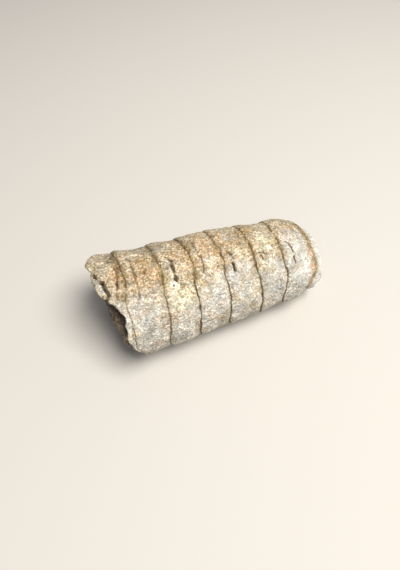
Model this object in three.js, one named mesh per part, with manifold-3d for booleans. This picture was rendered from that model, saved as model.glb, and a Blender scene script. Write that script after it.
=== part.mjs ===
// A length of Baculites, a straight-shelled ammonite turned to stone, lying on its flank.
// It is one stone: the mould of the shell's chambers, ringed by the sutures where the walls
// between them met the flank. Its thick end is a broken face with a hollow, and its thin end is
// a cap with a domed face.
//
// Millimetres and degrees. +X runs towards the thin end, +Y towards the broad back edge, +Z up.
// The origin is under the middle of the stone, on the surface that it rests on.
// A place on the flank is a station, the distance from the tip of the thick end, and an angle
// round the stone: 0 at the back edge, 90 on top, 180 at the front edge and 270 underneath.
import * as THREE from "three";
import { mergeVertices } from "three/addons/utils/BufferGeometryUtils.js";
import Module from "manifold-3d";

// Driving dimensions.
const LENGTH = 66.8;
const THICK_END = { width: 33.6, height: 27.5 };
const THIN_END = { width: 25.6, height: 21 };
const EGG = 0.06; // how much deeper the section is towards the back edge
const RESTING_WEAR = 0.4; // depth of the flat worn on the underside

// Sutures: the station on top, and how far the line falls back towards the thick end at the
// back edge, over the step in the upper flank, and at the front edge.
const SUTURES = [
  { top: 8.5, back: 0.7, step: 1.6, front: 2.6 },
  { top: 18.3, back: 0.6, step: 1.5, front: 3.4 },
  { top: 27.2, back: 0.7, step: 1.8, front: 3.5 },
  { top: 35.6, back: 0.3, step: 1.2, front: 3.0 },
  { top: 44.8, back: -0.2, step: 0.9, front: 2.2 },
  { top: 53.3, back: -0.4, step: 0.8, front: 3.5 },
  { top: 62.8, back: 0.0, step: 0.2, front: 3.9 },
];
const STEP_ANGLES = [94, 122];
const FRONT_ANGLES = [130, 195];
const BACK_ANGLES = [86, 46];

// A suture that meets the broken edge runs along it, this far in.
const SHORTEST_CHAMBER = 0.9;

// Each chamber starts proud of the one before it and narrows towards the thin end. Its sutures
// are narrow grooves, each in a wider dip.
const CHAMBER_RISE = 0.4;
const GROOVE = { depth: 0.6, halfWidth: 0.5 };
const DIP = { depth: 0.2, reach: 1.3 };

// The thick end's broken edge, as [angle, station].
const BROKEN_EDGE = [
  [0, 3.2],
  [36, 2.8],
  [50, 1.9],
  [60, 0.4],
  [68, 0],
  [78, 0.9],
  [87, 0.4],
  [96, 0.8],
  [104, 1.2],
  [113, 2.6],
  [124, 4.5],
  [134, 4.9],
  [150, 4.2],
  [166, 5.4],
  [190, 8.1],
  [215, 9.2],
  [262, 8.6],
  [310, 5.8],
];
const EDGE_SHARE = 0.975; // the edge is blunted by the rest of the section
// The broken face inside that edge: its middle, how it falls away to one side, and its lumps.
const FACE = { station: 2.1, fallsTowards: 215, fall: 0.0042, innerShare: 0.72 };
const FACE_LUMPS = { rise: 0.3, across: 7.5, up: 9 };
const HOLLOW = { angle: 133, share: 0.8, depth: 3.2, across: 2.3, along: 4.6 };

// The thin end: a rounded shoulder, the last suture, then a thin cap with a domed face. The cap
// is worn down towards the back, and has a spur at the front.
const SHOULDER = { length: 6, past: 1, wornAt: 20, most: 0.13, least: 0.055 };
const CAP = { share: 0.975, beyondSuture: 2, dome: 3.4, domePower: 3.6 };
const CAP_WEAR = { from: 100, to: 60, share: 0.11, length: 0.9 };
const CAP_SPUR = { angle: 172, spread: 12, length: 1.6 };

// Broad swellings and dents of the flank, with their reach along and around it.
const SWELLINGS = [
  { station: 5.4, angle: 44, rise: -0.9, along: 4.5, around: 18 },
  { station: 8.4, angle: 45, rise: 0.6, along: 1.5, around: 14 },
  { station: 14.4, angle: 44, rise: -1.0, along: 4.5, around: 20 },
  { station: 24.4, angle: 40, rise: -0.5, along: 4, around: 20 },
  { station: 34.4, angle: 38, rise: 0.4, along: 9, around: 26 },
  { station: 51.8, angle: 40, rise: -0.4, along: 5, around: 24 },
  { station: 12.4, angle: 205, rise: -0.2, along: 6, around: 26 },
  { station: 61, angle: 200, rise: -0.5, along: 3.5, around: 24 },
];
// Waves over the whole flank: their length along it, how many go round it, and where they start.
const WAVES = [
  { rise: 0.16, along: 11.5, around: 3, start: 0 },
  { rise: 0.16, along: 19.5, around: 2, start: 47 },
];

// Scars: short cracks and pits in the flank, from one place to another.
const SCARS = [
  { from: [1.4, 81], to: [1.7, 86], width: 1.0, depth: 0.9 },
  { from: [2.8, 91], to: [3.5, 108], width: 0.8, depth: 1.4 },
  { from: [7.1, 77], to: [6.5, 93], width: 0.6, depth: 0.4 },
  { from: [6.5, 92], to: [5.2, 107], width: 0.6, depth: 0.4 },
  { from: [10.8, 66], to: [11.4, 86], width: 0.6, depth: 0.4 },
  { from: [11.4, 85], to: [11.2, 104], width: 0.6, depth: 0.4 },
  { from: [20.8, 80], to: [21.9, 93], width: 1.2, depth: 0.9 },
  { from: [21.7, 93], to: [21.4, 103], width: 0.8, depth: 0.6 },
  { from: [21.5, 103], to: [21.0, 110], width: 1.1, depth: 1.0 },
  { from: [29.4, 65], to: [29.5, 78], width: 0.5, depth: 0.35 },
  { from: [29.8, 97], to: [29.0, 109], width: 0.6, depth: 0.4 },
  { from: [38.3, 98], to: [38.1, 103], width: 0.8, depth: 0.5 },
  { from: [37.9, 110], to: [37.3, 117], width: 1.0, depth: 0.9 },
  { from: [55.9, 104], to: [55.2, 128], width: 0.6, depth: 0.5 },
];

// The mesh: columns round the stone, and rows over the face, each chamber and the dome. A
// chamber's row is a share of its length and an offset, which shrinks where it is short of room.
const COLUMNS = 60;
const FACE_SHARES = [0, 0.22, 0.42, 0.58, 0.7, 0.8, 0.9];
const DOME_SHARES = [1, 0.86, 0.68, 0.46, 0.23, 0];
const ROOMY_CHAMBER = 4;
const CHAMBER_ROWS = [
  [0, 0],
  [0, 0.5],
  [0, 1.4],
  [0.38, 0],
  [0.66, 0],
  [1, -1.3],
  [1, -0.5],
];

const { cos, sin, abs, min, max, hypot, exp } = Math;
const radians = THREE.MathUtils.degToRad;
const mix = (a, b, t) => a + (b - a) * t;
const smooth = (from, to, value) => {
  const t = min(1, max(0, (value - from) / (to - from)));
  return t * t * (3 - 2 * t);
};
const turned = (degrees) => ((degrees % 360) + 360) % 360;
// The shortest turn from one angle to another.
const turnBetween = (a, b) => turned(a - b + 180) - 180;
const hump = (distance) => exp(-distance * distance);

// The lower flank mirrors the upper one, so a suture runs by the angle folded to 0..180.
function sutureStation({ top, back, step, front }, angle) {
  const folded = abs(turnBetween(angle, 0));
  const overStep = smooth(...STEP_ANGLES, folded) * step;
  const toFront = smooth(...FRONT_ANGLES, folded) * (front - step);
  const toBack = smooth(...BACK_ANGLES, folded) * back;
  return top - overStep - toFront - toBack;
}

function edgeStation(angle) {
  const a = turned(angle);
  const next = BROKEN_EDGE.findIndex(([at]) => at > a);
  const [atB, b] = next < 0 ? [360, BROKEN_EDGE[0][1]] : BROKEN_EDGE[next];
  const [atA, s] = BROKEN_EDGE[next < 0 ? BROKEN_EDGE.length - 1 : next - 1];
  return mix(s, b, smooth(atA, atB, a));
}

const capSpur = (angle) => hump(turnBetween(angle, CAP_SPUR.angle) / CAP_SPUR.spread);
const capWear = (angle) => smooth(CAP_WEAR.from, CAP_WEAR.to, abs(turnBetween(angle, 0)));

function capStation(angle) {
  const beyond = CAP.beyondSuture + CAP_SPUR.length * capSpur(angle);
  return sutureStation(SUTURES.at(-1), angle) + beyond - CAP_WEAR.length * capWear(angle);
}

const capShare = (angle) => CAP.share - CAP_WEAR.share * capWear(angle);

// The lines that bound the chambers at an angle, from the broken edge to the cap's edge.
function bounds(angle) {
  const lines = [edgeStation(angle)];
  for (const suture of SUTURES) {
    lines.push(max(lines.at(-1) + SHORTEST_CHAMBER, sutureStation(suture, angle)));
  }
  return [...lines, capStation(angle)];
}

// How far the flank stands proud of the plain tapered body, in millimetres.
function relief(station, angle) {
  const lines = bounds(angle);
  const last = lines.length - 1;
  const found = lines.findLastIndex((line) => line <= station);
  const chamber = min(last - 1, max(0, found));
  const share = (station - lines[chamber]) / (lines[chamber + 1] - lines[chamber]);
  let rise = CHAMBER_RISE * (0.5 - min(1, max(0, share)));
  for (const line of lines.slice(1, last)) {
    const gap = abs(station - line);
    rise -= GROOVE.depth * max(0, 1 - gap / GROOVE.halfWidth);
    rise -= DIP.depth * hump(gap / DIP.reach);
  }
  for (const s of SWELLINGS) {
    const along = (station - s.station) / s.along;
    const around = turnBetween(angle, s.angle) / s.around;
    rise += s.rise * hump(hypot(along, around));
  }
  for (const wave of WAVES) {
    const along = sin(radians((360 * station) / wave.along + wave.start));
    rise += wave.rise * along * cos(radians(wave.around * angle));
  }
  return rise;
}

// The share of the plain section that is left on the thin end's shoulder.
function shoulderShare(station, angle) {
  const suture = sutureStation(SUTURES.at(-1), angle);
  const into = smooth(suture - SHOULDER.length, suture + SHOULDER.past, station);
  const worn = 0.5 + 0.5 * cos(radians(angle - SHOULDER.wornAt));
  return 1 - into * into * mix(SHOULDER.least, SHOULDER.most, worn);
}

// A point of the stone: share is 1 on the flank and less inside it, rise is along the normal.
function pointAt(station, angle, share = 1, rise = 0) {
  const t = station / LENGTH;
  const halfWidth = mix(THICK_END.width, THIN_END.width, t) / 2;
  const halfHeight = mix(THICK_END.height, THIN_END.height, t) / 2;
  const c = cos(radians(angle));
  const s = sin(radians(angle));
  const normal = new THREE.Vector2(c / halfWidth, s / halfHeight).normalize();
  const depth = s < 0 ? halfHeight + RESTING_WEAR : halfHeight;
  const y = share * halfWidth * c + rise * normal.x;
  const z = halfHeight + share * depth * s * (1 + EGG * c) + rise * normal.y;
  return new THREE.Vector3(station - LENGTH / 2, y, max(0, z));
}

function flankPoint(station, angle) {
  return pointAt(station, angle, shoulderShare(station, angle), relief(station, angle));
}

// How deep the hollow is at a place on the broken face.
function hollowDepth(place, edge) {
  const gap = place.clone().sub(pointAt(edge, HOLLOW.angle, HOLLOW.share));
  const out = radians(HOLLOW.angle);
  const across = (gap.y * cos(out) + gap.z * sin(out)) / HOLLOW.across;
  const along = (gap.z * cos(out) - gap.y * sin(out)) / HOLLOW.along;
  return HOLLOW.depth * hump(hypot(across, along));
}

// The broken face: lumpy, and drawn out to the edge all round.
function facePoint(share, angle) {
  const edge = edgeStation(angle);
  const place = pointAt(edge, angle, share);
  const aside = share * THICK_END.width * max(0, cos(radians(angle - FACE.fallsTowards)));
  const acrossWave = sin(radians((360 * place.y) / FACE_LUMPS.across));
  const upWave = cos(radians((360 * place.z) / FACE_LUMPS.up));
  const inner = FACE.station + FACE.fall * aside ** 2 + FACE_LUMPS.rise * acrossWave * upWave;
  const station = mix(inner, edge, smooth(FACE.innerShare, 1, share));
  return pointAt(station + hollowDepth(place, edge), angle, share);
}

// The domed face of the cap, over a middle that lies between its back and front edges.
function domePoint(share, angle) {
  const edge = capStation(angle);
  const middle = (capStation(0) + capStation(180)) / 2;
  const dome = CAP.dome * (1 - share ** CAP.domePower);
  const station = mix(middle, edge, share ** 2) + dome;
  return pointAt(station, angle, share * capShare(angle) * shoulderShare(edge, angle));
}

// The rows of the body, each a function from an angle to a point, from one pole to the other.
function bodyRows() {
  const rows = FACE_SHARES.map((share) => (angle) => facePoint(share, angle));
  rows.push((angle) => pointAt(edgeStation(angle), angle, EDGE_SHARE));
  for (let chamber = 0; chamber <= SUTURES.length; chamber++) {
    const isCap = chamber === SUTURES.length;
    for (const [share, offset] of CHAMBER_ROWS) {
      if (chamber === 0 && share + offset === 0) continue;
      if (isCap && share + offset > GROOVE.halfWidth) continue;
      rows.push((angle) => {
        const [from, to] = bounds(angle).slice(chamber, chamber + 2);
        const room = min(1, (to - from) / ROOMY_CHAMBER);
        return flankPoint(mix(from, to, share) + offset * room, angle);
      });
    }
  }
  for (const share of DOME_SHARES) rows.push((angle) => domePoint(share, angle));
  return rows;
}

// A lathe's grid, with its poles and seam merged, is moved row by row onto the stone.
function bodyGeometry() {
  const rows = bodyRows();
  const last = rows.length - 1;
  const profile = rows.map((_, row) => new THREE.Vector2(row % last === 0 ? 0 : 1, row));
  const lathe = new THREE.LatheGeometry(profile, COLUMNS);
  lathe.deleteAttribute("normal");
  lathe.deleteAttribute("uv");
  const grid = mergeVertices(lathe, 1e-3);
  const places = grid.getAttribute("position");
  for (let i = 0; i < places.count; i++) {
    const angle = THREE.MathUtils.radToDeg(Math.atan2(places.getX(i), places.getZ(i)));
    const row = Math.round(places.getY(i));
    places.setXYZ(i, ...rows[row](angle));
  }
  return grid;
}

// A scar is cut by a flattened ball laid along it, half sunk in the flank.
function scarGeometry({ from, to, width, depth }) {
  const start = flankPoint(...from);
  const end = flankPoint(...to);
  const middle = flankPoint((from[0] + to[0]) / 2, (from[1] + to[1]) / 2);
  const along = end.clone().sub(start);
  const outward = new THREE.Vector3(0, middle.y, middle.z - THICK_END.height / 2).normalize();
  const across = new THREE.Vector3().crossVectors(along, outward).normalize();
  const lie = new THREE.Matrix4().makeBasis(across, along.clone().normalize(), outward);
  lie.setPosition(middle);
  const ball = new THREE.SphereGeometry(1, 8, 6).scale(width / 2, along.length() / 2, depth);
  return ball.applyMatrix4(lie);
}

const wasm = await Module();
wasm.setup();

function toSolid(geometry) {
  const bare = geometry.clone();
  bare.deleteAttribute("normal");
  bare.deleteAttribute("uv");
  const merged = mergeVertices(bare, 1e-3);
  const vertProperties = merged.getAttribute("position").array;
  const triVerts = new Uint32Array(merged.index.array);
  return new wasm.Manifold(new wasm.Mesh({ numProp: 3, vertProperties, triVerts }));
}

function toGeometry(solid) {
  const { vertProperties, triVerts } = solid.getMesh();
  const geometry = new THREE.BufferGeometry();
  geometry.setAttribute("position", new THREE.BufferAttribute(vertProperties, 3));
  geometry.setIndex(new THREE.BufferAttribute(triVerts, 1));
  geometry.computeVertexNormals();
  return geometry;
}

const scarred = SCARS.reduce(
  (stone, scar) => stone.subtract(toSolid(scarGeometry(scar))),
  toSolid(bodyGeometry()),
);

const limestone = new THREE.MeshStandardMaterial({ color: "#cdbb98", roughness: 0.9, metalness: 0 });
const stone = new THREE.Mesh(toGeometry(scarred), limestone);
stone.name = "baculites_shell";

const fossil = new THREE.Group();
fossil.add(stone);

export default fossil;
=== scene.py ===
from math import atan2, cos, degrees, exp, hypot, radians, sin, tau

import bmesh
import bpy
from mathutils import Matrix, Vector, noise


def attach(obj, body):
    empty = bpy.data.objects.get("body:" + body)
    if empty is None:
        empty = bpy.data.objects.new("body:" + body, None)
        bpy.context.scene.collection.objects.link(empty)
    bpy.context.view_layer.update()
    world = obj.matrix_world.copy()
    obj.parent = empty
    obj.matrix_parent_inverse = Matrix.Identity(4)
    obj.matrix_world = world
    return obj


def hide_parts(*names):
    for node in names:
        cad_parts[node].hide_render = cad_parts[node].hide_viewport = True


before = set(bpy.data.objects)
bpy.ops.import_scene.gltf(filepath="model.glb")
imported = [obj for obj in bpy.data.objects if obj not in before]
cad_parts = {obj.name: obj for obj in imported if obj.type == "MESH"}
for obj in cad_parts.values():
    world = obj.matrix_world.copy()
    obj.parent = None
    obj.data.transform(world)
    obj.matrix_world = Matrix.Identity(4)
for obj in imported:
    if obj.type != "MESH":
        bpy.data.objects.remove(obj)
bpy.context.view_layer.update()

MM = 0.001

# ---------------------------------------------------------------- the stone's driving sizes
LENGTH = 66.8
THICK_END = {"width": 33.6, "height": 27.5}
THIN_END = {"width": 25.6, "height": 21}
EGG = 0.06  # how much deeper the section is towards the back edge
RESTING_WEAR = 0.4  # depth of the flat worn on the underside

# Sutures: the station on top, how far the line falls back towards the thick end at the back
# edge, over the step in the upper flank, and at the front edge, and how deeply it is cut in the
# upper flank and in the lower one.
SUTURES = [
    {"top": 8.5, "back": 0.7, "step": 1.6, "front": 2.6, "upper": 0.45, "lower": 0.25},
    {"top": 18.3, "back": 0.6, "step": 1.5, "front": 3.4, "upper": 0.4, "lower": 0.75},
    {"top": 27.2, "back": 0.7, "step": 1.8, "front": 3.5, "upper": 0.48, "lower": 0.8},
    {"top": 35.6, "back": 0.3, "step": 1.2, "front": 3.0, "upper": 0.45, "lower": 0.8},
    {"top": 44.8, "back": -0.2, "step": 0.9, "front": 2.2, "upper": 0.42, "lower": 0.8},
    {"top": 53.3, "back": -0.4, "step": 0.8, "front": 3.5, "upper": 0.45, "lower": 0.7},
    {"top": 62.8, "back": 0.0, "step": 0.2, "front": 3.9, "upper": 0.2, "lower": 0.2},
]
STEP_ANGLES = (94, 122)
FRONT_ANGLES = (130, 195)
BACK_ANGLES = (86, 46)
SHORTEST_CHAMBER = 0.9
# How a suture strays along the stone, over how many degrees, and how much finer it strays again.
WANDER = {"reach": 0.22, "span": 9, "finer": 2.5}

CHAMBER_RISE = 0.34
DIP = {"depth": 0.14, "reach": 1.2}
HALO = 0.9  # how far brown clay spreads beside a suture
LOWER_FLANK = (106, 128)  # the angles over which the upper flank turns into the lower one
# A suture's groove, with the sizes of the lumps by which its edges stray and its depth is patchy.
GROOVE = {"depth": 0.5, "least": 0.1, "stray_size": 1.1, "patch_size": 2.2}
# Its half width on either flank, how many half widths its dark of clay and painted shade reaches, how
# far its edges stray, how patchy its depth is and how much brown clay lies beside it.
UPPER_GROOVE = {"half_width": 0.396, "dark": 0.85, "stray": 0.5, "patchy": 1.1, "clay": 1}
LOWER_GROOVE = {"half_width": 0.2592, "dark": 0.7, "stray": 0.125, "patchy": 0.44, "clay": 0.45}

# The thick end's broken edge, as (angle, station).
BROKEN_EDGE = [
    (0, 3.2),
    (36, 2.8),
    (50, 1.9),
    (60, 0.4),
    (68, 0),
    (78, 0.9),
    (87, 0.4),
    (96, 0.8),
    (104, 1.2),
    (113, 2.6),
    (124, 4.5),
    (134, 4.9),
    (150, 4.2),
    (166, 5.4),
    (190, 8.1),
    (215, 9.2),
    (262, 8.6),
    (310, 5.8),
]
EDGE_SHARE = 0.975
EDGE_ROUND = 0.6
EDGE_STRAY = {"reach": 0.2, "span": 6}
FACE = {"station": 2.1, "falls_towards": 215, "fall": 0.0042, "inner_share": 0.72}
FACE_LUMPS = {"rise": 0.3, "across": 7.5, "up": 9}
# The pale ring of the shell's wall round the broken face: where it starts, how ragged its inner
# edge is, the size of those lumps, and how softly it ends.
SHELL_WALL = {"share": 0.97, "ragged": 0.06, "size": 1.8, "blend": 0.06}
# The break inside it goes in by lumps, waves and the facets of coarse crystals: how deep, the size
# in millimetres, and the values of the noise where they start and are full.
BREAK_LUMPS = {"depth": 0.3, "size": 2.6, "start": -0.5, "full": 0.6}
BREAK_WAVES = {"depth": 0.8, "size": 7, "start": -0.1, "full": 0.6}
BREAK_FACETS = {"depth": 1.0, "size": 3.8, "edge": 0.3, "spread": 3.1}
BREAK_INSIDE = 0.8  # the share of the section inside which the break is at its deepest
HOLLOW = {"angle": 133, "share": 0.8, "depth": 3.2, "across": 2.3, "along": 4.6}

SHOULDER = {"length": 6, "past": 1, "worn_at": 20, "most": 0.13, "least": 0.055}
CAP = {"share": 0.975, "beyond_suture": 2, "dome": 3.4, "dome_power": 3.6}
CAP_WEAR = {"start": 100, "end": 60, "share": 0.11, "length": 0.9}
CAP_SPUR = {"angle": 172, "spread": 12, "length": 1.6}
DOME_LUMPS = {"rise": 0.3, "size": 5, "inside": 0.85}
# What lies on the dome: the most there is, the size of the patches in millimetres, and the values
# of the noise where they start and are full.
DOME_DIRT = {"most": 0.4, "size": 1.4, "start": 0.4, "full": 0.7}
DOME_OCHRE = {"most": 0.5, "size": 6, "start": 0, "full": 0.5}

# Broad swellings and dents: station, angle, rise, and their reach along and around.
SWELLINGS = [
    (5.4, 44, -0.9, 4.5, 18),
    (8.4, 45, 0.6, 1.5, 14),
    (14.4, 44, -1.0, 4.5, 20),
    (24.4, 40, -0.5, 4, 20),
    (34.4, 38, 0.4, 9, 26),
    (51.8, 40, -0.4, 5, 24),
    (12.4, 205, -0.2, 6, 26),
    (61, 200, -0.5, 3.5, 24),
]
# Waves over the whole flank: rise, length along it, how many go round it, and where they start.
WAVES = [(0.16, 11.5, 3, 0), (0.16, 19.5, 2, 47)]
# The roughness of the whole stone: rise, size in millimetres, octaves and seed.
ROUGHNESS = [(0.16, 5, 2, 3), (0.15, 1.6, 4, 9)]
FINER = {"share": 0.8, "size": 2.1}  # how each octave of roughness follows from the one before
# Small pits all over: depth, how much darker they are, size, and the noise where they start.
PITS = {"depth": 0.2, "dirt_and_shade": 0.2, "size": 1.3, "apart": (31, 7, 5), "start": 0.38, "full": 0.62}

# Cracks and pits in the flank: the path as (station, angle), width, depth, how dark it is, brown with
# clay and deep in it a painted shade, and how much rust lies in it.
CRACKS = [
    ([(1.6, 83), (1.8, 85)], 0.9, 1.0, 1.0, 0),
    ([(1.8, 86), (2.7, 92)], 0.6, 0.5, 0.5, 0),
    ([(2.7, 92), (2.9, 95)], 1.2, 1.2, 1.0, 0),
    ([(2.9, 95), (3.3, 100), (3.7, 106)], 0.9, 1.5, 1.0, 0),
    ([(3.7, 106), (2.9, 110)], 0.8, 0.8, 0.6, 0),
    ([(7.4, 80), (7.1, 88), (6.6, 96), (5.7, 105), (5.3, 112)], 0.7, 0.4, 0.35, 0.9),
    ([(7.2, 84), (6.8, 92)], 0.5, 0.3, 0.5, 0.8),
    ([(6.6, 95), (6.2, 100)], 0.6, 0.4, 1.0, 0.2),
    ([(6.6, 56), (7.2, 63), (7.3, 73)], 1.6, 0.3, 0.35, 0),
    ([(11.5, 74), (11.2, 94), (11.3, 106), (10.8, 115)], 0.8, 0.4, 0.5, 0),
    ([(20.6, 81), (21.6, 84)], 1.1, 0.6, 0.5, 0),
    ([(21.5, 84), (21.8, 87)], 1.2, 1.1, 1.1, 0),
    ([(21.8, 87), (21.6, 91), (21.6, 97), (21.3, 102)], 0.85, 0.9, 0.85, 0),
    ([(21.4, 103.5), (21.2, 110)], 1.05, 1.0, 1.1, 0),
    ([(26.1, 109), (26.6, 114)], 0.6, 0.4, 0.8, 0),
    ([(29.4, 62), (29.5, 78), (29.9, 90)], 0.6, 0.35, 0.45, 0.2),
    ([(29.9, 90), (29.9, 97), (29.1, 109)], 0.7, 0.4, 0.6, 0.2),
    ([(37.6, 92), (38.3, 98)], 0.8, 0.4, 0.8, 0),
    ([(38.2, 101), (38.4, 104)], 0.8, 0.4, 0.8, 0),
    ([(37.9, 108), (37.4, 117)], 0.7, 0.8, 1.1, 0),
    ([(46.2, 104), (47.9, 107)], 0.45, 0.3, 0.75, 0),
    ([(47.5, 104), (46.1, 108)], 0.45, 0.3, 0.75, 0),
    ([(46.5, 109), (46.5, 112)], 0.55, 0.3, 0.9, 0),
    ([(55.2, 99), (55.9, 102), (56.0, 105)], 0.7, 0.4, 0.6, 0.3),
    ([(56.1, 107), (56.2, 115), (55.8, 122), (55.7, 129)], 0.5, 0.45, 0.95, 0),
    ([(17.6, 128), (21.4, 139)], 0.5, 0.25, 0.2, 0),
    ([(13.6, 228), (15.2, 232), (16.0, 240)], 0.8, 0.6, 0.8, 0),
    ([(22.0, 322), (21.4, 331), (22.3, 340)], 0.7, 0.5, 0.7, 0.4),
    ([(31.0, 246), (33.2, 249)], 0.6, 0.4, 0.6, 0),
    ([(33.8, 305), (33.4, 313), (34.1, 318)], 1.1, 0.8, 0.9, 0),
    ([(40.2, 356), (40.6, 366)], 0.7, 0.4, 0.6, 0.5),
    ([(48.6, 212), (49.7, 220)], 0.9, 0.6, 0.8, 0),
    ([(57.2, 286), (56.8, 297), (57.9, 305)], 0.7, 0.5, 0.7, 0),
    ([(11.4, 8), (11.9, 18)], 0.9, 0.5, 0.7, 0.5),
    ([(49.8, 12), (49.3, 22)], 0.6, 0.4, 0.6, 0),
]
# Their edges: how far and how finely they are ragged, where a crack is full, how patchy it is, and
# how much of its depth is cut. Beyond the two nearby distances a place is never in a crack.
CRACK_EDGES = {"ragged": 0.5, "ragged_size": 0.9, "reach": 0.62, "full": 0.6}
CRACK_FLOOR = {"patchy": 0.7, "patch_size": 1.4, "cut": 0.8}
CRACK_NEARBY = {"along": 5, "around": 50}
# Round knobs, each with a dark pit in its pale middle, nearly black at its deepest as a painted shade:
# station, angle, radius and rise.
KNOBS = [(20.1, 114, 1.0, 0.4)]
KNOB_PIT = {"depth": 1.6, "narrower": 2.2, "dirt_and_shade": 0.8, "dirt_narrower": 3, "chalk": 0.65}
MM_PER_DEGREE = 0.27  # round the flank, near enough for a crack

# The buff upper flank gives way to grey chalk below this line, as (station, angle).
BUFF_EDGE = [(0, 118), (8, 110), (17, 116), (21, 138), (26, 126), (30, 112), (40, 106), (50, 114)]
BUFF_EDGE += [(53, 104), (57, 84), (66, 78)]
BUFF_LINE = {"ragged": 16, "size": 3.5, "blend": 14}  # in degrees, but for the size of its lumps

# Stains: station, angle, and reach along and around, with how strong each is.
STAINS = {
    "ochre": [
        (7, 95, 4, 22, 0.6),
        (14.5, 92, 5, 24, 0.9),
        (25, 88, 4.5, 26, 0.7),
        (33, 76, 6, 24, 0.8),
        (41, 84, 6, 26, 0.6),
        (50, 90, 6, 20, 0.2),
        (57, 80, 3, 14, 0.4),
        (24.5, 112, 3, 8, 0.6),
        (33, 104, 3, 8, 0.4),
        (13, 300, 5, 26, 0.8),
        (30, 338, 6, 24, 0.7),
        (40, 262, 6, 22, 0.6),
        (52, 320, 5, 22, 0.6),
        (47, 22, 4, 18, 0.4),
    ],
    "rust": [(13.7, 94, 0.6, 2.6, 1.0), (13.5, 100, 0.4, 1.6, 0.8), (14.8, 91, 0.4, 1.6, 0.6)],
    "cream": [
        (21.5, 126, 4, 13, 0.95),
        (48.8, 92, 2.6, 10, 1.0),
        (41, 97, 2.2, 12, 0.45),
        (20.5, 104, 2.0, 8, 0.6),
        (41, 146, 2, 9, 0.5),
        (22, 240, 3, 14, 0.8),
        (58, 226, 3, 12, 0.7),
        (44, 300, 2.5, 10, 0.8),
        (24, 12, 3, 12, 0.6),
    ],
    "peach": [
        (61.9, 122, 0.9, 6, 1.0),
        (61.2, 142, 0.9, 8, 1.0),
        (59.8, 163, 0.8, 6, 0.5),
    ],
    "olive": [
        (6.9, 60, 1.7, 10, 1.0),
        (8.2, 84, 0.8, 6, 0.7),
        (17.8, 72, 0.9, 10, 0.9),
        (20.6, 62, 1.8, 6, 0.5),
        (27, 62, 1.0, 8, 0.6),
        (36, 330, 1.5, 12, 0.6),
        (10, 262, 1.5, 12, 0.6),
        (45, 238, 1.0, 8, 0.6),
        (62.2, 131, 0.6, 3, 1.0),
    ],
    "chalk": [(57.6, 122, 4, 16, 0.6), (58, 146, 4, 18, 0.7), (45, 262, 4, 20, 0.5)],
    "slate": [
        (10.4, 145, 1.2, 10, 0.9),
        (49, 155, 2.2, 8, 1.0),
        (55, 160, 3, 16, 0.6),
        (34, 163, 3, 10, 0.5),
        (37, 124, 1.4, 5, 0.6),
        (1.7, 92, 0.9, 6, 1.0),
        (2.6, 101, 0.8, 6, 1.0),
        (2.8, 109, 0.6, 4, 0.8),
        (20.9, 89, 0.8, 4, 1.0),
        (20.7, 96, 0.7, 5, 0.7),
        (18.5, 66, 1.5, 5, 0.6),
        (30, 214, 2.5, 12, 0.8),
        (15, 344, 3, 12, 0.7),
        (55, 256, 3, 14, 0.8),
        (60, 12, 2, 14, 0.6),
        (64.3, 98, 0.5, 4, 0.7),
        (64.6, 113, 0.5, 4, 0.8),
        (65.0, 127, 0.7, 5, 0.9),
        (65.2, 141, 0.6, 5, 0.8),
    ],
}
# The band of clay along the last suture: how far it lies towards the thick end, its half width,
# and the angles between which it comes and goes.
CLAY_BAND = {"back": 0.35, "half_width": 0.85, "angles": (60, 85, 175, 200)}
# Chips out of the broken edge: angle, spread and depth.
CHIPS = [(116, 4, 0.7), (130, 6, 0.8), (146, 6, 0.7)]

# ---------------------------------------------------------------- the stone's mesh
COLUMNS = 296
FACE_ROWS = 28
CHAMBER_ROWS = 33
CAP_ROWS = 14
DOME_ROWS = 22
CROWDING = 0.5  # how far a chamber's rows crowd towards its sutures
FOLDS = {"angle": 75, "passes": 8, "factor": 0.5}
# What is known at each point of the mesh, for the limestone to read.
LAYERS = ["groove", "halo", "buff", "broken", "hollow_shade", "band", *STAINS]


def mix(a, b, t):
    return a + (b - a) * t


def smooth(start, end, value):
    t = min(1, max(0, (value - start) / (end - start)))
    return t * t * (3 - 2 * t)


def turn_between(a, b):
    return (a - b + 180) % 360 - 180


def hump(distance):
    return exp(-distance * distance)


def suture_station(suture, angle):
    """The lower flank mirrors the upper one, so a suture runs by the angle folded to 0..180."""
    folded = abs(turn_between(angle, 0))
    over_step = smooth(*STEP_ANGLES, folded) * suture["step"]
    to_front = smooth(*FRONT_ANGLES, folded) * (suture["front"] - suture["step"])
    to_back = smooth(*BACK_ANGLES, folded) * suture["back"]
    return suture["top"] - over_step - to_front - to_back


def edge_station(angle):
    a = angle % 360
    corners = BROKEN_EDGE + [(360, BROKEN_EDGE[0][1])]
    upper = next(i for i, corner in enumerate(corners) if corner[0] > a)
    (at_a, low), (at_b, high) = corners[upper - 1], corners[upper]
    return mix(low, high, smooth(at_a, at_b, a))


def cap_spur(angle):
    return hump(turn_between(angle, CAP_SPUR["angle"]) / CAP_SPUR["spread"])


def cap_wear(angle):
    return smooth(CAP_WEAR["start"], CAP_WEAR["end"], abs(turn_between(angle, 0)))


def cap_station(angle):
    beyond = CAP["beyond_suture"] + CAP_SPUR["length"] * cap_spur(angle)
    return suture_station(SUTURES[-1], angle) + beyond - CAP_WEAR["length"] * cap_wear(angle)


def cap_share(angle):
    return CAP["share"] - CAP_WEAR["share"] * cap_wear(angle)


def flank_noise(station, angle, size, seed):
    """A smooth stray from -1 to 1 over the flank, whose lumps are size millimetres wide."""
    a = radians(angle)
    radius = 15
    around = Vector((station, radius * cos(a), radius * sin(a)))
    return noise.noise(around / size + Vector((seed, seed, seed)))


def around_noise(angle, span, seed):
    """A smooth stray from -1 to 1 that closes on itself round the stone."""
    reach = 360 / span / tau
    a = radians(angle)
    return noise.noise(Vector((reach * cos(a), reach * sin(a), seed)))


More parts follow.
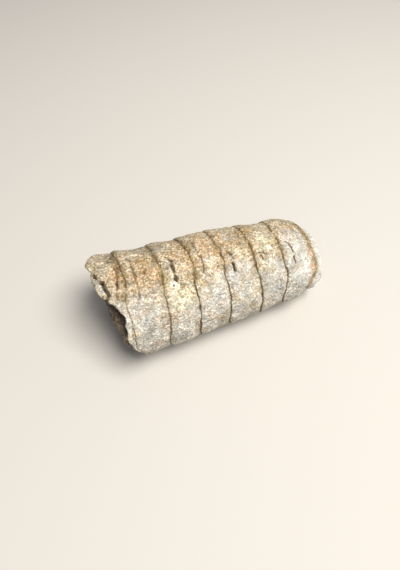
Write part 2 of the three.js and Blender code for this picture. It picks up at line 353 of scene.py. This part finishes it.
def chamber_lines(angle):
    """The lines that bound the chambers at an angle, from the broken edge to the cap's edge."""
    chipped = sum(depth * hump(turn_between(angle, at) / spread) for at, spread, depth in CHIPS)
    edge_stray = EDGE_STRAY["reach"] * around_noise(angle, EDGE_STRAY["span"], seed=3.3)
    lines = [edge_station(angle) + edge_stray + chipped]
    for number, suture in enumerate(SUTURES):
        broad = around_noise(angle, WANDER["span"], seed=7.7 * number)
        fine = around_noise(angle, WANDER["span"] / WANDER["finer"], seed=5.1 * number + 2)
        stray = WANDER["reach"] * (broad + 0.5 * fine)
        lines.append(max(lines[-1] + SHORTEST_CHAMBER, suture_station(suture, angle) + stray))
    return lines + [cap_station(angle)]


def relief(station, angle, lines):
    """How far the flank stands proud of the plain tapered body, with the suture's dark, of clay and a
    painted shade, and the clay beside it.
    """
    last = len(lines) - 1
    chamber = max([0] + [i for i in range(last) if lines[i] <= station])
    share = (station - lines[chamber]) / (lines[chamber + 1] - lines[chamber])
    rise = CHAMBER_RISE * (0.5 - min(1, max(0, share)))
    lower = smooth(*LOWER_FLANK, abs(turn_between(angle, 0)))
    here = {key: mix(UPPER_GROOVE[key], LOWER_GROOVE[key], lower) for key in UPPER_GROOVE}
    groove = halo = 0
    stray = here["stray"] * flank_noise(station, angle, GROOVE["stray_size"], seed=2)
    patchy = 1 + here["patchy"] * flank_noise(station, angle, GROOVE["patch_size"], seed=6)
    for number, line in enumerate(lines[1:last]):
        gap = abs(station - line + stray)
        if gap > 3 * DIP["reach"]:
            continue
        suture = SUTURES[number]
        depth = mix(suture["upper"], suture["lower"], lower)
        depth = max(GROOVE["least"], depth * patchy)
        rise -= GROOVE["depth"] * depth * smooth(0, 1, 1 - gap / here["half_width"])
        rise -= DIP["depth"] * hump(gap / DIP["reach"])
        # The suture's dark, which the limestone paints as brown clay and, deep in the groove, as
        # painted shade.
        groove = max(groove, depth * hump(gap / (here["dark"] * here["half_width"])))
        halo = max(halo, here["clay"] * hump(gap / (HALO * patchy)))
    for at, around_at, height, along, around in SWELLINGS:
        reach = hypot((station - at) / along, turn_between(angle, around_at) / around)
        rise += height * hump(reach)
    for height, length, count, start in WAVES:
        along = sin(radians(360 * station / length + start))
        rise += height * along * cos(radians(count * angle))
    return rise, groove, halo


def shoulder_share(station, angle):
    suture = suture_station(SUTURES[-1], angle)
    into = smooth(suture - SHOULDER["length"], suture + SHOULDER["past"], station)
    worn = 0.5 + 0.5 * cos(radians(angle - SHOULDER["worn_at"]))
    return 1 - into * into * mix(SHOULDER["least"], SHOULDER["most"], worn)


def point_at(station, angle, share=1.0, rise=0.0):
    """share is 1 on the flank and less inside it, rise is along the section's normal."""
    t = station / LENGTH
    half_width = mix(THICK_END["width"], THIN_END["width"], t) / 2
    half_height = mix(THICK_END["height"], THIN_END["height"], t) / 2
    c, s = cos(radians(angle)), sin(radians(angle))
    normal = Vector((c / half_width, s / half_height)).normalized()
    depth = half_height + RESTING_WEAR if s < 0 else half_height
    y = share * half_width * c + rise * normal.x
    z = half_height + share * depth * s * (1 + EGG * c) + rise * normal.y
    return Vector((station - LENGTH / 2, y, z))


def hollow_depth(place, edge):
    gap = place - point_at(edge, HOLLOW["angle"], HOLLOW["share"])
    out = radians(HOLLOW["angle"])
    across = (gap.y * cos(out) + gap.z * sin(out)) / HOLLOW["across"]
    along = (gap.z * cos(out) - gap.y * sin(out)) / HOLLOW["along"]
    return HOLLOW["depth"] * hump(hypot(across, along))


def face_point(share, angle, edge):
    """The broken face: lumpy, and drawn out to the edge all round."""
    place = point_at(edge, angle, share)
    aside = share * THICK_END["width"] * max(0, cos(radians(angle - FACE["falls_towards"])))
    across_wave = sin(radians(360 * place.y / FACE_LUMPS["across"]))
    up_wave = cos(radians(360 * place.z / FACE_LUMPS["up"]))
    inner = FACE["station"] + FACE["fall"] * aside**2 + FACE_LUMPS["rise"] * across_wave * up_wave
    station = mix(inner, edge, smooth(FACE["inner_share"], 1, share))
    return point_at(station + hollow_depth(place, edge), angle, share)


def dome_point(share, angle):
    """The domed face of the cap, over a middle that lies between its back and front edges."""
    edge = cap_station(angle)
    middle = (cap_station(0) + cap_station(180)) / 2
    dome = CAP["dome"] * (1 - share ** CAP["dome_power"])
    station = mix(middle, edge, share**2) + dome
    return point_at(station, angle, share * cap_share(angle) * shoulder_share(edge, angle))


def rows_of_stone():
    """Each row as a part of the stone, a chamber's number and a share of its length."""
    rows = [("face", 0, row / FACE_ROWS) for row in range(FACE_ROWS)]
    for chamber in range(len(SUTURES)):
        for row in range(CHAMBER_ROWS):
            even = row / CHAMBER_ROWS
            crowded = 0.5 - 0.5 * cos(even * tau / 2)
            rows.append(("flank", chamber, mix(even, crowded, CROWDING)))
    rows += [("cap", len(SUTURES), row / CAP_ROWS) for row in range(CAP_ROWS)]
    rows += [("dome", 0, 1 - row / DOME_ROWS) for row in range(DOME_ROWS + 1)]
    return rows


def spun_barrel(rows, columns):
    """A closed barrel about X: a ring for each row, a unit apart, and a pole at each end."""
    bm = bmesh.new()
    poles = (0, rows - 1)
    line = [bm.verts.new((row, 0 if row in poles else 1, 0)) for row in range(rows)]
    edges = [bm.edges.new(pair) for pair in zip(line, line[1:])]
    bmesh.ops.spin(
        bm, geom=line + edges, cent=(0, 0, 0), axis=(1, 0, 0), angle=tau, steps=columns, use_merge=True
    )
    bmesh.ops.remove_doubles(bm, verts=bm.verts, dist=1e-4)
    return bm


def stone_point(part, chamber, share, angle, lines):
    """A point of the stone, the suture's dark there, of clay and a painted shade, the brown beside it,
    and the station.
    """
    if part == "face":
        edge_share = share * EDGE_SHARE
        return face_point(edge_share, angle, lines[0]), 0, 0, lines[0]
    if part == "dome":
        return dome_point(share, angle), 0, 0, cap_station(angle)
    station = mix(lines[chamber], lines[chamber + 1], share)
    rise, groove, halo = relief(station, angle, lines)
    section = shoulder_share(station, angle)
    past_edge = max(0, 1 - (station - lines[0]) / EDGE_ROUND)
    section *= 1 - (1 - EDGE_SHARE) * past_edge**2
    rise *= 1 - past_edge
    if part == "cap":
        section *= mix(1, cap_share(angle), share)
        rise *= 1 - share
    return point_at(station, angle, section, rise), groove, halo, station


def crack_at(station, angle, path, width):
    """How near a place is to the middle of a crack, from 0 to 1."""
    at, around_at = path[0]
    far_along = abs(station - at) >= CRACK_NEARBY["along"]
    if far_along or abs(turn_between(angle, around_at)) >= CRACK_NEARBY["around"]:
        return 0
    ragged = flank_noise(station, angle, CRACK_EDGES["ragged_size"], seed=4)
    ragged *= CRACK_EDGES["ragged"] * min(1, width)
    nearest = 0
    for (s0, a0), (s1, a1) in zip(path, path[1:]):
        along = Vector((s1 - s0, (a1 - a0) * MM_PER_DEGREE))
        place = Vector((station - s0, turn_between(angle, a0) * MM_PER_DEGREE))
        share = min(1, max(0, place.dot(along) / along.length_squared))
        gap = (place - along * share).length + ragged
        nearest = max(nearest, 1 - gap / (CRACK_EDGES["reach"] * width))
    patchy = CRACK_FLOOR["patchy"] * flank_noise(station, angle, CRACK_FLOOR["patch_size"], seed=8)
    return smooth(0, CRACK_EDGES["full"], nearest) * min(1, 1 + patchy)


def stain_at(station, angle, spots):
    """How strongly one kind of stain lies at a place."""
    amount = 0
    for at, around_at, along, around, strength in spots:
        reach = hypot((station - at) / along, turn_between(angle, around_at) / around)
        amount = max(amount, strength * hump(reach))
    return amount


def clay_band(station, angle, line):
    """How much of the band of clay along the last suture lies at a place."""
    from_angle, full, fading, to_angle = CLAY_BAND["angles"]
    across = (station - line + CLAY_BAND["back"]) / CLAY_BAND["half_width"]
    return hump(across**2) * smooth(from_angle, full, angle) * smooth(to_angle, fading, angle)


def roughness_of(place, size, octaves, seed):
    """Roughness from about -1 to 1 through the stone, whose lumps are size millimetres wide."""
    apart = Vector((seed, seed, seed))
    return noise.fractal(place / size + apart, FINER["share"], FINER["size"], octaves)


def buff_share(station, angle, place):
    """How far a place lies on the buff side of the line, which is ragged."""
    upper = next((i for i, corner in enumerate(BUFF_EDGE) if corner[0] > station), -1)
    (at_a, low), (at_b, high) = BUFF_EDGE[upper - 1], BUFF_EDGE[upper]
    line = mix(low, high, smooth(at_a, at_b, station))
    blend = BUFF_LINE["blend"]
    ragged = BUFF_LINE["ragged"] * roughness_of(place, BUFF_LINE["size"], 3, seed=13)
    return smooth(line + blend, line - blend, abs(turn_between(angle, 0)) + ragged)


def facet_depth(place):
    """The steps of a break through coarse crystals, where each facet lies at its own depth."""
    (near, next_near, *_), (facet, *_) = noise.voronoi(place / BREAK_FACETS["size"])
    own = 0.5 + 0.5 * noise.noise(BREAK_FACETS["spread"] * facet)
    return BREAK_FACETS["depth"] * own * smooth(0, BREAK_FACETS["edge"], next_near - near)


def all_over(place):
    """The roughness and small pits of the whole stone, and how much darker the pits are."""
    rise = sum(height * roughness_of(place, *kind) for height, *kind in ROUGHNESS)
    pit = noise.noise(place / PITS["size"] + Vector(PITS["apart"]))
    pit = smooth(PITS["start"], PITS["full"], pit)
    return rise - PITS["depth"] * pit, PITS["dirt_and_shade"] * pit


def face_detail(place, share, angle, edge):
    """The lumps and facets of the broken face, what is broken or pale there, and where the painted
    shade of its deep recess lies.
    """
    lumps = roughness_of(place, BREAK_LUMPS["size"], 4, seed=21)
    waves = noise.noise(place / BREAK_WAVES["size"])
    inwards = BREAK_LUMPS["depth"] * smooth(BREAK_LUMPS["start"], BREAK_LUMPS["full"], lumps)
    inwards += BREAK_WAVES["depth"] * smooth(BREAK_WAVES["start"], BREAK_WAVES["full"], waves)
    inwards += facet_depth(place)
    wall = SHELL_WALL["share"]
    inside = share + SHELL_WALL["ragged"] * roughness_of(place, SHELL_WALL["size"], 3, seed=25)
    broken = smooth(wall, wall - SHELL_WALL["blend"], inside)
    # How deep the hollow is places its painted shade, nearly black.
    hollow_shade = hollow_depth(point_at(edge, angle, share * EDGE_SHARE), edge) / HOLLOW["depth"]
    laid = {"broken": broken, "chalk": 1 - broken, "hollow_shade": hollow_shade}
    return -inwards * smooth(1, BREAK_INSIDE, share), laid


def dome_detail(place, share):
    """The lumps of the dome's chalk, and the dark specks and ochre on it."""
    lumps = DOME_LUMPS["rise"] * roughness_of(place, DOME_LUMPS["size"], 4, seed=17)
    dirt_and_shade = roughness_of(place, DOME_DIRT["size"], 2, seed=40)
    dirt_and_shade = DOME_DIRT["most"] * smooth(DOME_DIRT["start"], DOME_DIRT["full"], dirt_and_shade)
    ochre = roughness_of(place, DOME_OCHRE["size"], 2, seed=28)
    ochre = DOME_OCHRE["most"] * smooth(DOME_OCHRE["start"], DOME_OCHRE["full"], ochre)
    laid = {"dirt_and_shade": dirt_and_shade, "ochre": ochre * (1 - share), "chalk": 1}
    return lumps * smooth(1, DOME_LUMPS["inside"], share), laid


def flank_detail(station, angle, last_suture):
    """The cracks, pits and knobs of the flank, their dark of clay and painted shade, and the rust and
    stains on it.
    """
    rise = 0
    laid = {name: stain_at(station, angle, spots) for name, spots in STAINS.items()}
    laid["dirt_and_shade"] = 0
    laid["band"] = clay_band(station, angle, last_suture)
    # A crack darkens with clay and, deep in it, with a painted shade for its shadow.
    for path, width, depth, dirt_and_shade, rust in CRACKS:
        near = crack_at(station, angle, path, width)
        rise -= CRACK_FLOOR["cut"] * depth * near
        laid["dirt_and_shade"] = max(laid["dirt_and_shade"], dirt_and_shade * near)
        laid["rust"] = max(laid["rust"], rust * near)
    for at, around_at, radius, height in KNOBS:
        around = turn_between(angle, around_at) * MM_PER_DEGREE
        reach = hypot(station - at, around) / radius
        pit = KNOB_PIT["depth"] * hump(KNOB_PIT["narrower"] * reach)
        rise += height * (hump(reach) - pit)
        # The knob's pit is painted dark, and nearly black at its middle as a painted shade.
        dirt_and_shade = KNOB_PIT["dirt_and_shade"] * hump(KNOB_PIT["dirt_narrower"] * reach)
        laid["dirt_and_shade"] = max(laid["dirt_and_shade"], dirt_and_shade)
        laid["chalk"] = max(laid["chalk"], KNOB_PIT["chalk"] * hump(reach**2))
    return rise, laid


def ease_folds(bm):
    """Smooths the few places where the relief folds the mesh, as where rows crowd together."""
    for _ in range(FOLDS["passes"]):
        bm.normal_update()
        folded = [edge for edge in bm.edges if edge.calc_face_angle() > radians(FOLDS["angle"])]
        verts = list({vert for edge in folded for vert in edge.verts})
        bmesh.ops.smooth_vert(
            bm,
            verts=verts,
            factor=FOLDS["factor"],
            use_axis_x=True,
            use_axis_y=True,
            use_axis_z=True,
        )


def stone_mesh():
    """The stone in metres: its plain form first, and then its detail along the normals."""
    rows = rows_of_stone()
    bm = spun_barrel(len(rows), COLUMNS)
    layers = {name: bm.verts.layers.float.new(name) for name in LAYERS}
    lines_at = [chamber_lines(360 * column / COLUMNS) for column in range(COLUMNS)]
    where = {}
    for vert in bm.verts:
        turned = degrees(atan2(vert.co.z, vert.co.y)) % 360
        column = round(turned * COLUMNS / 360) % COLUMNS
        angle = 360 * column / COLUMNS
        part, chamber, share = rows[round(vert.co.x)]
        lines = lines_at[column]
        place, groove, halo, station = stone_point(part, chamber, share, angle, lines)
        vert.co = place
        vert[layers["groove"]] = groove
        vert[layers["halo"]] = halo
        where[vert] = part, share, station, angle, lines
    bmesh.ops.recalc_face_normals(bm, faces=bm.faces)
    bm.normal_update()
    moves = []
    for vert in bm.verts:
        part, share, station, angle, lines = where[vert]
        place = vert.co
        rise, dirt_and_shade = all_over(place)
        if part == "face":
            further, laid = face_detail(place, share, angle, lines[0])
        elif part == "dome":
            further, laid = dome_detail(place, share)
        else:
            further, laid = flank_detail(station, angle, lines[-2])
        if part == "cap":
            laid["chalk"] = share
        moves.append((vert, vert.normal * (rise + further)))
        # The groove layer gathers the suture's dark and the dark of pits, cracks and knobs, which the
        # limestone paints as clay and, where deepest, as painted shade.
        laid["groove"] = max(vert[layers["groove"]], dirt_and_shade, laid.pop("dirt_and_shade", 0))
        laid["buff"] = buff_share(station, angle, place)
        for name, amount in laid.items():
            vert[layers[name]] = min(1, amount)
    for vert, move in moves:
        vert.co += move
        vert.co.z = max(vert.co.z, 0)
    ease_folds(bm)
    bmesh.ops.transform(bm, matrix=Matrix.Scale(MM, 4), verts=bm.verts)
    bm.normal_update()
    return bm


# ---------------------------------------------------------------- materials
def linear(hex_colour):
    """An sRGB hex colour as linear red, green, blue and alpha."""
    values = [int(hex_colour[i : i + 2], 16) / 255 for i in (1, 3, 5)]
    return [v / 12.92 if v <= 0.04045 else ((v + 0.055) / 1.055) ** 2.4 for v in values] + [1]


def add(tree, kind, inputs=None, **settings):
    """Adds a node with its settings. Each input is a value, a node's output or a node."""
    made = tree.nodes.new("ShaderNode" + kind)
    for name, value in settings.items():
        setattr(made, name, value)
    for key, value in (inputs or {}).items():
        if isinstance(value, bpy.types.Node):
            value = next(output for output in value.outputs if output.enabled)
        if isinstance(value, bpy.types.NodeSocket):
            tree.links.new(value, made.inputs[key])
        else:
            made.inputs[key].default_value = value
    return made


# The inputs of a map range: a value, where it starts and is full, and what it becomes there.
VALUE, START, FULL, AT_START, AT_FULL = range(5)
# The inputs of a mix: the share of the second, two numbers, and two colours.
SHARE, NUMBER_A, NUMBER_B, COLOUR_A, COLOUR_B = 0, 2, 3, 6, 7

# Patterns in the stone: the size of their lumps in millimetres, and how fine their detail is. Most
# of the calcite's own crystals are too fine to show, so the sugar and the grains are drawn as
# coarse as half a millimetre.
GRAIN_SIZE = 0.56
GRAIN_STRAY = 0.7  # how far the specks bend the edges of the grains, in millimetres
PATTERNS = {
    "blotch": (5, 4),
    "patch": (2.6, 3),
    "sallow": (3.4, 3),
    "warmth": (2.1, 3),
    "coolness": (2.4, 3),
    "mottle": (1.7, 4),
    "speck": (0.9, 2),
    "sugar": (0.5, 2),
}
# What lies on the stone, from the bottom up: its colour, the layer that places it, how much of
# it there is, and the pattern that breaks it up, with the values where it starts and is full.
COATS = [
    ("#c1996a", "buff", 0.45, "warmth", 0.5, 0.68),
    ("#c9b183", "", 0.36, "sallow", 0.5, 0.66),
    ("#c7a88a", "", 0.35, "warmth", 0.52, 0.68),
    ("#a8aba5", "", 0.5, "coolness", 0.5, 0.68),
    ("#b99368", "ochre", 0.8, "patch", 0.4, 0.6),
    ("#e6dfc4", "cream", 0.9, "mottle", 0.25, 0.5),
    ("#d6d6d0", "chalk", 0.85, "mottle", 0.2, 0.45),
    ("#979c9c", "slate", 0.9, "patch", 0.3, 0.55),
    ("#8a7448", "halo", 0.8, "mottle", 0.36, 0.6),
    ("#58543f", "olive", 0.9, "speck", 0.35, 0.6),
    ("#8d7a58", "band", 0.85, "speck", 0.25, 0.5),
    ("#ccaa8e", "peach", 0.95, "mottle", 0.25, 0.5),
    ("#86502d", "rust", 0.9, "speck", 0.3, 0.6),
    # The broken face: its own fresh grey-brown, with a painted shade that makes it darker.
    ("#7a6e5c", "broken", 0.9, "patch", 0.2, 0.45),
    ("#8a6b4c", "broken", 0.7, "blotch", 0.5, 0.62),
    ("#a99d88", "broken", 0.7, "warmth", 0.48, 0.62),
    ("#493b31", "broken", 0.8, "coolness", 0.48, 0.62),
    # The deep hollow of the broken face: its own dark brown, made nearly black by a painted shade.
    ("#241c18", "hollow_shade", 0.95, "mottle", 0.0, 0.3),
]
LEAST_COAT = 0.15  # the share of a coat that lies even where its pattern leaves it out
# The ground that they lie on, dull and pale: grey chalk and buff.
GREYS = ("#b7b3a9", "#cbc7be")
BUFFS = ("#b1a892", "#c9c0ab")
# Clay in the sutures and cracks, brown, and deep in them a painted shade, nearly black: each
# colour, and how dark a groove is where it starts and is full.
CLAY_AND_CREVICE_SHADE = [("#6f5b3b", 0.42, 0.7), ("#2d261b", 0.85, 1.2)]
MOST_CLAY_AND_SHADE = 0.92
# How high the crystals stand, in millimetres, and the share of it that is left on worn chalk.
BUMP = {"height": 0.29, "on_chalk": 0.5}


def weathered_limestone():
    """Limestone and calcite: a dull, sugary grain stained by clay and iron, dark in its cracks by clay
    and painted shade.
    """
    material = bpy.data.materials.new("weathered_limestone")
    material.use_nodes = True
    tree = material.node_tree
    tree.nodes.clear()
    place = add(tree, "TexCoord").outputs["Object"]
    in_mm = add(tree, "Mapping", {"Vector": place, "Scale": (1 / MM,) * 3})
    patterns = {}
    for number, (name, (size, detail)) in enumerate(PATTERNS.items()):
        apart = add(tree, "Mapping", {"Vector": in_mm, "Location": (number * 31, 0, 0)})
        patterns[name] = add(tree, "TexNoise", {"Vector": apart, "Scale": 1 / size, "Detail": detail})
    stray = {0: patterns["speck"].outputs["Color"], 1: (GRAIN_STRAY,) * 3, 2: in_mm}
    strayed = add(tree, "VectorMath", stray, operation="MULTIPLY_ADD")
    grains = add(tree, "TexVoronoi", {"Vector": strayed, "Scale": 1 / GRAIN_SIZE})
    each_grain = add(tree, "SeparateColor", {0: grains.outputs["Color"]})
    layers = {}
    for name in LAYERS:
        layers[name] = add(tree, "Attribute", attribute_name=name).outputs["Fac"]

    # The ground colours: grey chalk below and buff above, each with paler blotches.
    blotches = add(tree, "MapRange", {VALUE: patterns["blotch"], START: 0.4, FULL: 0.6})
    grounds = []
    for dull, pale in (GREYS, BUFFS):
        ground = {SHARE: blotches, COLOUR_A: linear(dull), COLOUR_B: linear(pale)}
        grounds.append(add(tree, "Mix", ground, data_type="RGBA"))
    ground = {SHARE: layers["buff"], COLOUR_A: grounds[0], COLOUR_B: grounds[1]}
    colour = add(tree, "Mix", ground, data_type="RGBA")

    for hex_colour, layer, most, pattern, start, full in COATS:
        least = LEAST_COAT * most if layer else 0
        amount = {VALUE: patterns[pattern], START: start, FULL: full}
        amount.update({AT_START: least, AT_FULL: most})
        amount = add(tree, "MapRange", amount)
        if layer:
            amount = add(tree, "Math", {0: layers[layer], 1: amount}, operation="MULTIPLY")
        coat = {SHARE: amount, COLOUR_A: colour, COLOUR_B: linear(hex_colour)}
        colour = add(tree, "Mix", coat, data_type="RGBA")

    # Each crystal is lighter or darker than its neighbours, with shade between them.
    shades = [
        {VALUE: patterns["sugar"], START: 0.28, FULL: 0.72, AT_START: 0.56, AT_FULL: 1.44},
        {VALUE: each_grain, START: 0, FULL: 1, AT_START: 0.72, AT_FULL: 1.32},
        {VALUE: patterns["mottle"], START: 0.3, FULL: 0.7, AT_START: 0.78, AT_FULL: 1.22},
        {VALUE: grains, START: 0.2, FULL: 0.8, AT_START: 1.08, AT_FULL: 0.72},
    ]
    light = 1
    for shade in shades:
        shade = add(tree, "MapRange", shade)
        light = add(tree, "Math", {0: light, 1: shade}, operation="MULTIPLY")
    # The grain is plainer on the grey chalk than on the buff, and in patches of either.
    chalk = layers["chalk"]
    buffness = add(tree, "Math", {0: layers["buff"], 1: chalk}, operation="SUBTRACT")
    plainness = {VALUE: buffness, START: -1, FULL: 1, AT_START: 0.62, AT_FULL: 1.04}
    evenness = {VALUE: patterns["coolness"], START: 0.35, FULL: 0.65, AT_START: 1.25, AT_FULL: 0.75}
    plainness = add(tree, "MapRange", plainness)
    evenness = add(tree, "MapRange", evenness)
    strength = add(tree, "Math", {0: plainness, 1: evenness}, operation="MULTIPLY")
    grain_light = {SHARE: strength, NUMBER_A: 1, NUMBER_B: light}
    light = add(tree, "Mix", grain_light, clamp_factor=False)
    patches = {VALUE: patterns["patch"], START: 0.36, FULL: 0.64, AT_START: 0.82, AT_FULL: 1.18}
    patches = add(tree, "MapRange", patches)
    light = add(tree, "Math", {0: light, 1: patches}, operation="MULTIPLY")
    # Bright crystals are clear and nearly white, and dull ones hold more of the clay's colour.
    clear = {VALUE: light, START: 0.5, FULL: 1.5, AT_START: 1.35, AT_FULL: 0.75}
    clear = add(tree, "MapRange", clear)
    grainy = {"Color": colour, "Saturation": clear, "Value": light}
    colour = add(tree, "HueSaturation", grainy)

    # Clay lies brown at the edges of the sutures and cracks, and deep in them a painted shade is
    # nearly black.
    ragged = {0: patterns["speck"], 1: 0.5, 2: layers["groove"]}
    ragged = add(tree, "Math", ragged, operation="MULTIPLY_ADD")
    for hex_colour, start, full in CLAY_AND_CREVICE_SHADE:
        amount = {VALUE: ragged, START: start, FULL: full, AT_START: 0, AT_FULL: MOST_CLAY_AND_SHADE}
        amount = add(tree, "MapRange", amount)
        clay = {SHARE: amount, COLOUR_A: colour, COLOUR_B: linear(hex_colour)}
        colour = add(tree, "Mix", clay, data_type="RGBA")

    # The crystals stand proud at their middles, and less so where soft chalk has worn smooth.
    crystals = {0: grains, 1: -1, 2: patterns["sugar"]}
    crystals = add(tree, "Math", crystals, operation="MULTIPLY_ADD")
    crispness = {VALUE: chalk, START: 0, FULL: 1, AT_START: 1, AT_FULL: BUMP["on_chalk"]}
    crispness = add(tree, "MapRange", crispness)
    bump = {"Height": crystals, "Strength": crispness, "Distance": BUMP["height"] * MM}
    bump = add(tree, "Bump", bump)
    finish = {"Base Color": colour, "Normal": bump, "Roughness": 0.82, "IOR": 1.5}
    shader = add(tree, "BsdfPrincipled", finish)
    add(tree, "OutputMaterial", {"Surface": shader})
    return material


def pale_paint():
    """Matt emulsion paint, rolled on: a plain pale ground without shine, which takes soft shadows."""
    material = bpy.data.materials.new("matt_pale_paint")
    material.use_nodes = True
    tree = material.node_tree
    tree.nodes.clear()
    paint = {"Base Color": linear("#c6c3be"), "Roughness": 0.9, "IOR": 1.45}
    shader = add(tree, "BsdfPrincipled", paint)
    add(tree, "OutputMaterial", {"Surface": shader})
    return material


def to_object(bm, name, material):
    mesh = bpy.data.meshes.new(name)
    for face in bm.faces:
        face.smooth = True
    bm.to_mesh(mesh)
    bm.free()
    mesh.materials.append(material)
    made = bpy.data.objects.new(name, mesh)
    bpy.context.scene.collection.objects.link(made)
    return made


# ---------------------------------------------------------------- camera and light
CAMERA = {"turn": 21.6, "tilt": 55, "distance": 141, "aim": (-0.8, 7.03, 0), "lens": 27.16}
ROOM = {"colour": "#f2f2f5", "strength": 0.3}
# The key light: degrees round and up, metres and watts.
KEY = {
    "azimuth": -52,
    "elevation": 67,
    "distance": 0.6,
    "size": 0.32,
    "watts": 5.6,
    "colour": "#fffaf2",
}
FLOOR = {"size": 1.5, "below": 0.05 * MM}


def place_camera():
    turn, tilt = radians(CAMERA["turn"]), radians(CAMERA["tilt"])
    forward = Vector((sin(turn) * cos(tilt), cos(turn) * cos(tilt), -sin(tilt)))
    data = bpy.data.cameras.new("camera")
    data.lens = CAMERA["lens"]
    data.sensor_width = 36
    data.clip_start = 0.01
    camera = bpy.data.objects.new("camera", data)
    camera.location = (Vector(CAMERA["aim"]) - forward * CAMERA["distance"]) * MM
    camera.rotation_euler = forward.to_track_quat("-Z", "Y").to_euler()
    bpy.context.scene.collection.objects.link(camera)
    bpy.context.scene.camera = camera


def soft_box(name, azimuth, elevation, distance, size, watts, colour):
    """A square soft light that looks at the stone from an azimuth and an elevation."""
    data = bpy.data.lights.new(name, "AREA")
    data.size = size
    data.energy = watts
    data.color = linear(colour)[:3]
    lamp = bpy.data.objects.new(name, data)
    a, e = radians(azimuth), radians(elevation)
    outward = Vector((cos(a) * cos(e), sin(a) * cos(e), sin(e)))
    lamp.location = outward * distance
    lamp.rotation_euler = (-outward).to_track_quat("-Z", "Y").to_euler()
    bpy.context.scene.collection.objects.link(lamp)


def room_light(colour, strength):
    world = bpy.data.worlds.new("room")
    world.use_nodes = True
    background = world.node_tree.nodes["Background"]
    background.inputs["Color"].default_value = linear(colour)
    background.inputs["Strength"].default_value = strength
    bpy.context.scene.world = world


place_camera()
bpy.context.scene.view_settings.view_transform = "Standard"
room_light(**ROOM)
soft_box("key", **KEY)

stone = to_object(stone_mesh(), "baculites_stone", weathered_limestone())
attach(stone, "root")
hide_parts("baculites_shell")

ground = bmesh.new()
bmesh.ops.create_grid(ground, x_segments=2, y_segments=2, size=FLOOR["size"])
bmesh.ops.translate(ground, vec=(0, 0, -FLOOR["below"]), verts=ground.verts)
floor = to_object(ground, "floor", pale_paint())
